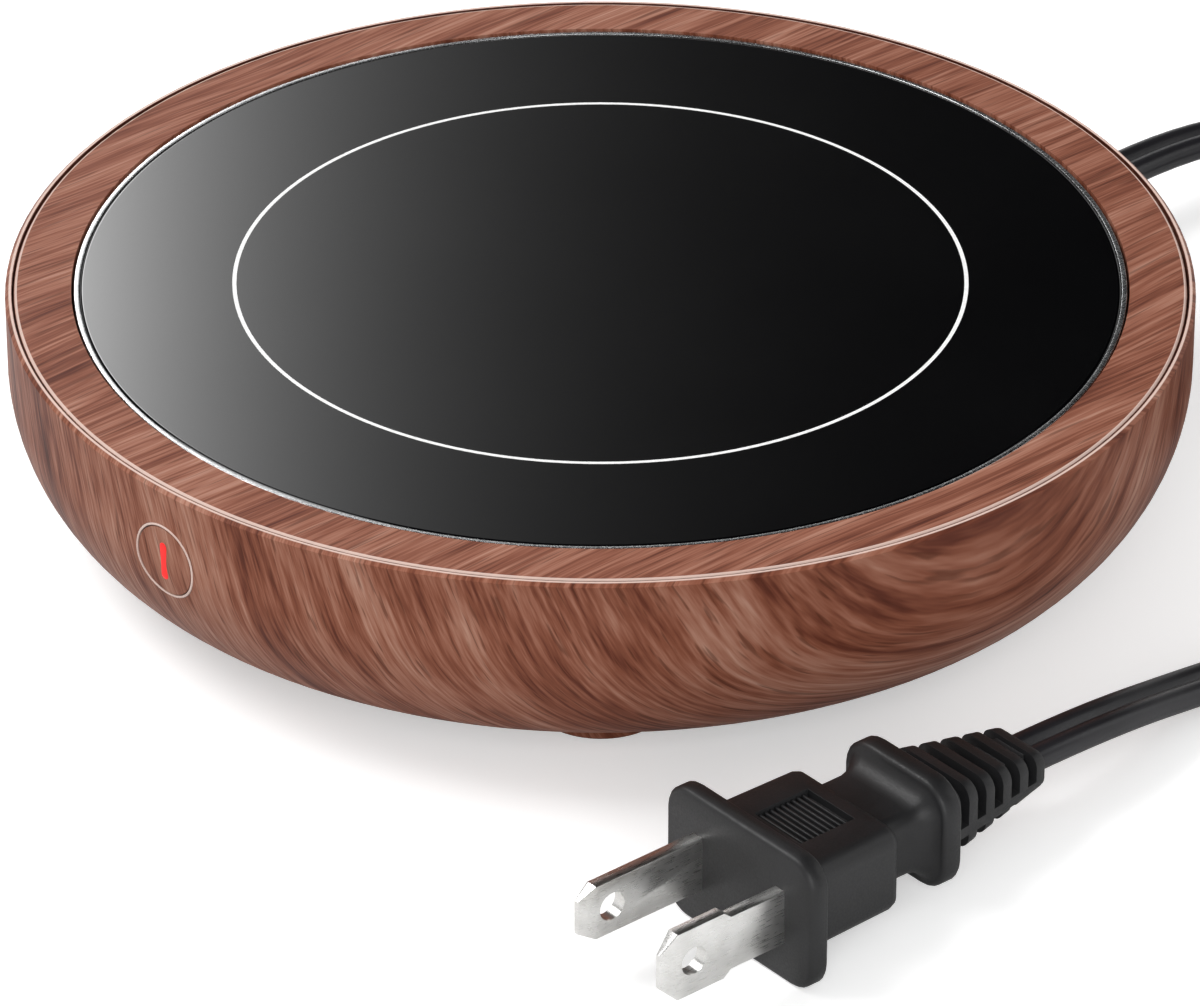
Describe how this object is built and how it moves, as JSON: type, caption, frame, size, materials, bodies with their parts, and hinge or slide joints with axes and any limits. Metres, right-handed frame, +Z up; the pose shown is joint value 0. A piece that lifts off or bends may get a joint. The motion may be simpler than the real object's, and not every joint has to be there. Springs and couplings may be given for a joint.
{
  "type": "electric mug warmer",
  "caption": "Shallow round bowl with a wood-look ring, a sprung glass heating plate, a lit push button and a flat mains cord ending in a two-pin plug.",
  "frame": {"origin": "on the surface it stands on, under the centre of the round housing", "axes": "+Z up, -Y towards the power button, +Y towards the cord's exit"},
  "size_m": [0.1683, 0.2133, 0.028],
  "materials": {
    "wood_film_shell": "housing moulding with a printed walnut film under a satin lacquer",
    "wood_film_ring": "upper ring moulding with the same printed walnut film",
    "black_glass": "black tempered glass, polished, white printed ring",
    "aluminium_pan": "pressed aluminium pan",
    "heater_foil": "polyimide film heater",
    "grey_felt": "ceramic fibre felt",
    "carrier_black": "glass filled nylon moulding",
    "steel": "zinc plated steel",
    "spring_steel": "spring steel",
    "circuit_board": "green solder mask over glass fibre",
    "part_yellow": "film capacitor case",
    "part_black": "moulded component cases",
    "part_white": "nylon connector",
    "part_green": "terminal block",
    "fuse_glass": "fuse tube with plated caps",
    "button_plastic": "button cap in the housing's colour",
    "button_ring_print": "pale trim ring",
    "lamp_red": "red diffuser, lit from behind",
    "foot_wood": "foot moulded in the housing's colour",
    "foot_rubber": "non-slip rubber pad",
    "cord_pvc": "flexible PVC cord jacket",
    "plug_pvc": "moulded PVC plug",
    "plug_brass": "nickel plated brass blades",
    "tie_plastic": "flexible tie",
    "lead_white": "insulated lead"
  },
  "bodies": {
    "housing": {"bowl_housing": "wood_film_shell", "top_ring": "wood_film_ring", "feet": "foot_wood", "foot_pads": "foot_rubber", "housing_screws": "steel", "board_screws": "steel", "control_board": "circuit_board", "film_capacitor": "part_yellow", "filter_capacitor": "part_black", "power_triac": "part_black", "controller_chip": "part_black", "mains_terminal": "part_green", "board_fuse": "fuse_glass", "cable_header": "part_white", "button_cable": "lead_white", "limit_switch": "part_black", "button_board": "circuit_board", "tact_switch": "part_black", "indicator_led": "part_white", "button_ring": "button_ring_print", "strain_relief": "plug_pvc", "cord_clamp": "part_black", "clamp_screws": "steel", "cord_tail": "cord_pvc", "live_lead": "part_black", "neutral_lead": "lead_white", "heater_lead_left": "lead_white", "heater_lead_right": "lead_white", "plate_springs": "spring_steel", "cord_exit_span": "cord_pvc", "cord_coil": "cord_pvc", "cord_plug_span": "cord_pvc", "cord_tie": "tie_plastic", "plug_body": "plug_pvc", "plug_blades": "plug_brass"},
    "plate": {"glass_plate": "black_glass", "plate_pan": "aluminium_pan", "heater_disc": "heater_foil", "insulation_pad": "grey_felt", "carrier_plate": "carrier_black", "carrier_nuts": "steel", "plate_screws": "steel", "thermal_fuse": "part_white", "heat_sensor": "part_black"},
    "button": {"power_button": "button_plastic", "light_bar": "lamp_red"},
    "plunger": {"switch_plunger": "part_black"},
    "lever": {"switch_lever": "spring_steel"}
  },
  "joints": [
    {"name": "plate_press", "type": "slide", "parent": "housing", "child": "plate", "axis": [0, 0, 1], "range_m": [-0.001, 0], "stiffness_N_per_m": 3000, "springref_m": 0.0012, "deforming": ["plate_springs", "heater_lead_left", "heater_lead_right"]},
    {"name": "lever_pivot", "type": "hinge", "parent": "housing", "child": "lever", "pos_m": [0.0086, -0.0016, 0.0179], "axis": [0, 1, 0], "range_deg": [0, 4.9]},
    {"name": "button_press", "type": "slide", "parent": "housing", "child": "button", "axis": [0, 1, 0], "range_m": [0, 0.0005], "stiffness_N_per_m": 800, "springref_m": -0.0002},
    {"name": "plunger_press", "type": "slide", "parent": "housing", "child": "plunger", "axis": [0, 1, 0], "range_m": [0, 0.0005]}
  ],
  "couplings": [
    {"joint": "lever_pivot", "follows": "plate_press", "rad_per_m": -83.333},
    {"joint": "plunger_press", "follows": "button_press", "ratio": 1}
  ]
}
